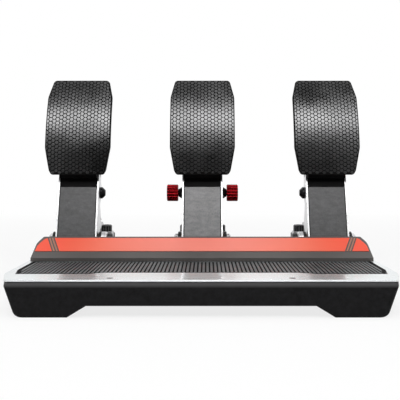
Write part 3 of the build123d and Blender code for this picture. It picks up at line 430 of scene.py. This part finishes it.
# Softened edges
WELD_DISTANCE = 0.00001
SOFT_ANGLE = math.radians(35.0)
PLAIN_EDGE = 0.0003
EDGES = {"base_shell": 0.0008, "heel_plate": 0.0002, "front_panel": 0.0006, "base_plate": 0.0004}
EDGES.update((name, PLAIN_EDGE)
             for name in every("bracket", "strut_base", "arm", "side_plates", "pad"))


def soften(name, width):
    """Rounds a CAD node's hard edges a little, as a machined or moulded edge is."""
    piece = nodes[name]
    weld = piece.modifiers.new("weld", "WELD")
    weld.merge_threshold = WELD_DISTANCE
    bevel = piece.modifiers.new("bevel", "BEVEL")
    bevel.width = width
    bevel.segments = 2
    bevel.limit_method = "ANGLE"
    bevel.angle_limit = SOFT_ANGLE
    bevel.harden_normals = False


for name, width in EDGES.items():
    soften(name, width)


def new_piece(name, vertices, faces, material, body):
    """A mesh piece in the frame, on a body, with its material in a slot."""
    mesh = bpy.data.meshes.new(name)
    mesh.from_pydata(vertices, [], faces)
    mesh.update()
    mesh.materials.append(material)
    piece = bpy.data.objects.new(name, mesh)
    bpy.context.scene.collection.objects.link(piece)
    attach(piece, body)
    return piece


def smooth(mesh):
    """Smooth shading on every face."""
    for polygon in mesh.polygons:
        polygon.use_smooth = True


# Honeycomb tread on the pads; an outline point is (share of the half width, share of the height)
PAD_FRONT = 0.0264
PAD_BEND = 0.200
PAD_BEND_HEIGHT = 0.122
PAD_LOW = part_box("brake_pad")[0][2]
PAD_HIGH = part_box("brake_pad")[1][2]
PAD_HALF = 0.0365
PAD_OUTLINE = ((0.80, 0.0), (0.87, 0.045), (1.0, 0.28), (1.0, 0.81), (0.86, 1.0))
HEX_CORNERS = 6
HEX_SIDE = 0.0026
HEX_COLUMN_PITCH = 1.5 * HEX_SIDE
HEX_ROW_PITCH = math.sqrt(3) * HEX_SIDE
HEX_FOOT_SHARE = 0.975
HEX_TOP_SHARE = 0.8
HEX_TOP_SHIFT = 0.00028
HEX_HEIGHT = 0.0008
HEX_MARGIN = 0.0012
HEX_SINK = 0.0002
HEX_LEAST = 0.5 * HEX_SIDE


def pad_half_width(height):
    """Half the pad's width at a height."""
    rise = (height - PAD_LOW) / (PAD_HIGH - PAD_LOW)
    for (wide, low), (next_wide, high) in zip(PAD_OUTLINE, PAD_OUTLINE[1:]):
        if low <= rise <= high:
            return PAD_HALF * (wide + (next_wide - wide) * (rise - low) / (high - low))
    return 0.0


def pad_point(x, along, lift):
    """A point over the pad's bent face: across, along the bend, and out of the face."""
    turn = along / PAD_BEND
    radius = PAD_BEND + lift
    return (x, PAD_FRONT + PAD_BEND - radius * math.cos(turn),
            PAD_BEND_HEIGHT + radius * math.sin(turn))


def hexagon(x, along, start, end):
    """Foot and top corners of one hexagon, kept inside the pad's border."""
    ring = []
    for share, lift, shift in ((HEX_FOOT_SHARE, -HEX_SINK, 0.0),
                               (HEX_TOP_SHARE, HEX_HEIGHT, HEX_TOP_SHIFT)):
        for corner in range(HEX_CORNERS):
            angle = corner * math.pi / 3
            u = x + HEX_SIDE * share * math.cos(angle)
            v = along + shift + HEX_SIDE * share * math.sin(angle)
            v = min(max(v, start + HEX_MARGIN), end - HEX_MARGIN)
            height = PAD_BEND_HEIGHT + PAD_BEND * math.sin(v / PAD_BEND)
            limit = pad_half_width(height) - HEX_MARGIN
            ring.append((min(max(u, -limit), limit), v, lift))
    return ring


def tread(name, centre):
    """Raised hexagons over a pad's face, cut off at its border, with lower walls painted dark as
    painted shade.
    """
    vertices = []
    faces = []
    undersides = []
    columns = int(PAD_HALF / HEX_COLUMN_PITCH) + 1
    start, end = (PAD_BEND * math.asin((height - PAD_BEND_HEIGHT) / PAD_BEND)
                  for height in (PAD_LOW, PAD_HIGH))
    rows = int((end - start) / HEX_ROW_PITCH) + 2
    for column in range(-columns, columns + 1):
        for row in range(-1, rows):
            along = start + (row + 0.5 * (column % 2)) * HEX_ROW_PITCH
            ring = hexagon(column * HEX_COLUMN_PITCH, along, start, end)
            width, length = (max(values) - min(values) for values in list(zip(*ring))[:2])
            if width < HEX_LEAST or length < HEX_LEAST:
                continue
            first = len(vertices)
            top = first + HEX_CORNERS
            vertices += [pad_point(centre + u, v, lift) for u, v, lift in ring]
            faces.append([top + corner for corner in range(HEX_CORNERS)])
            undersides += [len(faces) + corner for corner in range(HEX_CORNERS // 2, HEX_CORNERS)]
            for corner in range(HEX_CORNERS):
                following = (corner + 1) % HEX_CORNERS
                faces.append([first + corner, first + following, top + following, top + corner])
    piece = new_piece(f"{name}_pad_tread", vertices, faces, pad_rubber, f"{name}_pedal")
    piece.data.materials.append(pad_shade_black)
    # The lower walls take the near-black copy of the rubber: painted shade.
    for face in undersides:
        piece.data.polygons[face].material_index = 1


for pedal, centre in PEDALS.items():
    tread(pedal, centre)


# Springs and pucks on the struts; places are distances from the cross bolt
COIL_TURNS = 7
COIL_STEPS = 40
COIL_RADIUS = 0.0116
WIRE = 0.003
WIRE_SIDES = 12
SPRING_LOW = 0.0173
SPRING_HIGH = 0.05575
END_TURNS = 0.75
END_PITCH = 0.0035
EASE_TURNS = 0.5
PUCK_LOW = 0.0174
PUCK_HIGH = 0.04705
PUCK_COUNT = 3
PUCK_GAP = 0.0004
PUCK_BORE = 0.0054
PUCK_RADIUS = 0.013
PUCK_STEPS = 48
RIM_POINTS = 9
RIM_BULGE = 0.0022


def strut_frame(pedal):
    """The strut's direction, and two directions across it."""
    along = Vector(joints[f"{pedal}_rod_slide"]["axis"]).normalized()
    side = Vector((1, 0, 0))
    return along, side, along.cross(side)


def strut_point(pedal, distance):
    """A point on the strut's centre line, from the cross bolt."""
    low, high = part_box(f"{pedal}_cross_bolt")
    bolt = Vector((PEDALS[pedal], (low[1] + high[1]) / 2, (low[2] + high[2]) / 2))
    return bolt + strut_frame(pedal)[0] * distance


def shorten(piece, replaced):
    """Puts a soft piece in a CAD node's place: smooth shading, the node hidden and a mesh of its
    own.
    """
    smooth(piece.data)
    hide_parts(replaced)
    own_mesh(piece)


def spring(pedal):
    """The coil, swept as one tube, with its end turns close together."""
    along, side, up = strut_frame(pedal)
    middle = (SPRING_HIGH - SPRING_LOW - WIRE - 2 * END_PITCH) / (COIL_TURNS - 2)
    vertices = []
    faces = []
    distance = SPRING_LOW + WIRE / 2
    for step in range(COIL_STEPS * COIL_TURNS + 1):
        turn = 2 * math.pi * step / COIL_STEPS
        turns = step / COIL_STEPS
        inward = min(turns - END_TURNS, COIL_TURNS - END_TURNS - turns)
        ease = min(1.0, max(0.0, inward / EASE_TURNS))
        pitch = END_PITCH + (middle - END_PITCH) * ease
        out = side * math.cos(turn) - up * math.sin(turn)
        centre = strut_point(pedal, distance) + out * COIL_RADIUS
        for corner in range(WIRE_SIDES):
            angle = 2 * math.pi * corner / WIRE_SIDES
            vertices.append(centre + (out * math.cos(angle) + along * math.sin(angle)) * WIRE / 2)
        distance += pitch / COIL_STEPS
    for step in range(COIL_STEPS * COIL_TURNS):
        first = step * WIRE_SIDES
        for corner in range(WIRE_SIDES):
            following = (corner + 1) % WIRE_SIDES
            faces.append((first + corner, first + following, first + WIRE_SIDES + following,
                          first + WIRE_SIDES + corner))
    faces.append(tuple(range(WIRE_SIDES))[::-1])
    faces.append(tuple(range(len(vertices) - WIRE_SIDES, len(vertices))))
    piece = new_piece(f"{pedal}_coil", vertices, faces, spring_steel, f"{pedal}_strut")
    shorten(piece, f"{pedal}_spring")


def pucks(pedal):
    """Rubber pucks with bulged rims, turned round the rod."""
    along, side, up = strut_frame(pedal)
    vertices = []
    faces = []
    each = (PUCK_HIGH - PUCK_LOW) / PUCK_COUNT
    length = each - PUCK_GAP
    for puck in range(PUCK_COUNT):
        start = PUCK_LOW + puck * each
        profile = [(start, PUCK_BORE)]
        for step in range(RIM_POINTS):
            share = step / (RIM_POINTS - 1)
            bulge = math.sqrt(max(0.0, math.sin(math.pi * share)))
            profile.append((start + length * share, PUCK_RADIUS - RIM_BULGE * (1 - bulge)))
        profile.append((start + length, PUCK_BORE))
        first = len(vertices)
        points = len(profile)
        for step in range(PUCK_STEPS):
            angle = 2 * math.pi * step / PUCK_STEPS
            out = side * math.cos(angle) + up * math.sin(angle)
            vertices += [strut_point(pedal, distance) + out * radius
                         for distance, radius in profile]
        for step in range(PUCK_STEPS):
            here = first + step * points
            there = first + (step + 1) % PUCK_STEPS * points
            for point in range(points):
                following = (point + 1) % points
                faces.append((here + point, here + following, there + following, there + point))
    piece = new_piece(f"{pedal}_pucks", vertices, faces, puck_rubber, f"{pedal}_strut")
    shorten(piece, f"{pedal}_elastomers")


spring("clutch")
spring("throttle")
pucks("brake")

# Floor and backdrop
STAGE_HALF = 6.0
STAGE_FRONT = -0.6
STAGE_BACK = 2.2
STAGE_TOP = 6.0
BEND_RADIUS = 1.0
BEND_STEPS = 12
STAGE_GREY = (0.93, 0.93, 0.93)
CAMERA_GLOW = 0.8
GLOSSY_GLOW = 0.15
GLOW_START = 0.3
GLOW_END = 1.2


def stage_material():
    """Plain pale stage that keeps its shade but shows as white behind the object."""
    material, tree, shader = principled("stage_white", STAGE_GREY, 0.9, specular=0.1)
    path = add(tree, "ShaderNodeLightPath")
    glow = add(tree, "ShaderNodeEmission", Color=(1, 1, 1, 1), Strength=1.0)
    depth = along_axis(tree, coordinates_of(tree), "Y")
    shares = [maths(tree, "MULTIPLY", path.outputs[ray],
                    spread(tree, depth, near, 1.0, GLOW_START, GLOW_END))
              for ray, near in (("Is Camera Ray", CAMERA_GLOW), ("Is Glossy Ray", GLOSSY_GLOW))]
    mixed = add(tree, "ShaderNodeMixShader")
    tree.links.new(maths(tree, "MAXIMUM", *shares), mixed.inputs["Fac"])
    tree.links.new(shader.outputs["BSDF"], mixed.inputs[1])
    tree.links.new(glow.outputs["Emission"], mixed.inputs[2])
    tree.links.new(mixed.outputs["Shader"], tree.nodes["Material Output"].inputs["Surface"])
    return material


def build_stage():
    """A floor that bends up into a backdrop."""
    vertices = []
    profile = [(STAGE_FRONT, 0.0), (STAGE_BACK, 0.0)]
    for step in range(1, BEND_STEPS + 1):
        angle = math.pi / 2 * step / BEND_STEPS
        profile.append((STAGE_BACK + BEND_RADIUS * math.sin(angle),
                        BEND_RADIUS * (1 - math.cos(angle))))
    profile.append((STAGE_BACK + BEND_RADIUS, STAGE_TOP))
    for y, z in profile:
        vertices += [(-STAGE_HALF, y, z), (STAGE_HALF, y, z)]
    faces = [(first, first + 1, first + 3, first + 2) for first in range(0, len(vertices) - 2, 2)]
    mesh = bpy.data.meshes.new("stage")
    mesh.from_pydata(vertices, [], faces)
    mesh.materials.append(stage_material())
    smooth(mesh)
    stage = bpy.data.objects.new("stage", mesh)
    bpy.context.scene.collection.objects.link(stage)


# Lamps: name, place, the point that it looks at, size, power in watts
LAMPS = (
    ("key", (0.0, -1.2, 1.2), (0, 0, 0.15), (1.3, 0.44), 15),
    ("left", (-1.7, -0.5, 1.1), (0, 0, 0.1), (1.2, 1.2), 7),
    ("right", (1.7, -0.5, 1.1), (0, 0, 0.1), (1.2, 1.2), 7),
    ("top", (0.0, 0.3, 2.2), (0, 0, 0.1), (2.8, 1.9), 14),
)


def area_light(name, place, aim, size, power):
    """A soft box that looks at a point."""
    light = bpy.data.lights.new(name, "AREA")
    light.energy = power
    light.shape = "RECTANGLE"
    light.size, light.size_y = size
    holder = bpy.data.objects.new(name, light)
    holder.location = place
    holder.rotation_euler = (Vector(aim) - Vector(place)).to_track_quat("-Z", "Y").to_euler()
    bpy.context.scene.collection.objects.link(holder)


# Surroundings: dim in front with a paler upper part, lighter behind, and white to the camera
REAR_GREY = (0.28, 0.28, 0.28)
FRONT_GREYS = ((0.0, 0.05), (0.3, 0.06), (0.5, 0.22), (0.8, 0.22))
FRONT_FULL = -0.7
FRONT_END = 0.1


def build_world():
    """The surroundings that the metal parts mirror."""
    world = bpy.data.worlds.new("studio")
    world.use_nodes = True
    tree = world.node_tree
    dim = tree.nodes["Background"]
    direction = add(tree, "ShaderNodeTexCoord").outputs["Generated"]
    front = spread(tree, along_axis(tree, direction, "Y"), 1.0, 0.0, FRONT_FULL, FRONT_END)
    greys = ramp(tree, along_axis(tree, direction, "Z"),
                 [(rise, (grey,) * 3) for rise, grey in FRONT_GREYS])
    tree.links.new(mix(tree, front, REAR_GREY, greys), dim.inputs["Color"])
    dim.inputs["Strength"].default_value = 1.0
    white = add(tree, "ShaderNodeBackground", Color=(1, 1, 1, 1), Strength=1.0)
    choose = add(tree, "ShaderNodeMixShader")
    path = add(tree, "ShaderNodeLightPath")
    tree.links.new(path.outputs["Is Camera Ray"], choose.inputs["Fac"])
    tree.links.new(dim.outputs["Background"], choose.inputs[1])
    tree.links.new(white.outputs["Background"], choose.inputs[2])
    tree.links.new(choose.outputs["Shader"], tree.nodes["World Output"].inputs["Surface"])
    bpy.context.scene.world = world


# The camera looks level, with its frame shifted as the photograph is framed
CAMERA_PLACE = (0.0042, -0.756, 0.1287)
FOCAL_PIXELS = 700.0
IMAGE_PIXELS = 400.0
SENSOR = 36.0
HORIZON_ROW = 167.0
MIDDLE_COLUMN = 206.1


def build_camera():
    """The photograph's view of the object."""
    data = bpy.data.cameras.new("camera")
    data.sensor_width = SENSOR
    data.lens = SENSOR * FOCAL_PIXELS / IMAGE_PIXELS
    data.shift_x = -(MIDDLE_COLUMN - IMAGE_PIXELS / 2) / IMAGE_PIXELS
    data.shift_y = -(IMAGE_PIXELS / 2 - HORIZON_ROW) / IMAGE_PIXELS
    camera = bpy.data.objects.new("camera", data)
    camera.location = CAMERA_PLACE
    camera.rotation_euler = (math.pi / 2, 0, 0)
    bpy.context.scene.collection.objects.link(camera)
    bpy.context.scene.camera = camera


build_stage()
for lamp in LAMPS:
    area_light(*lamp)
build_world()
build_camera()
bpy.context.scene.view_settings.view_transform = "Standard"
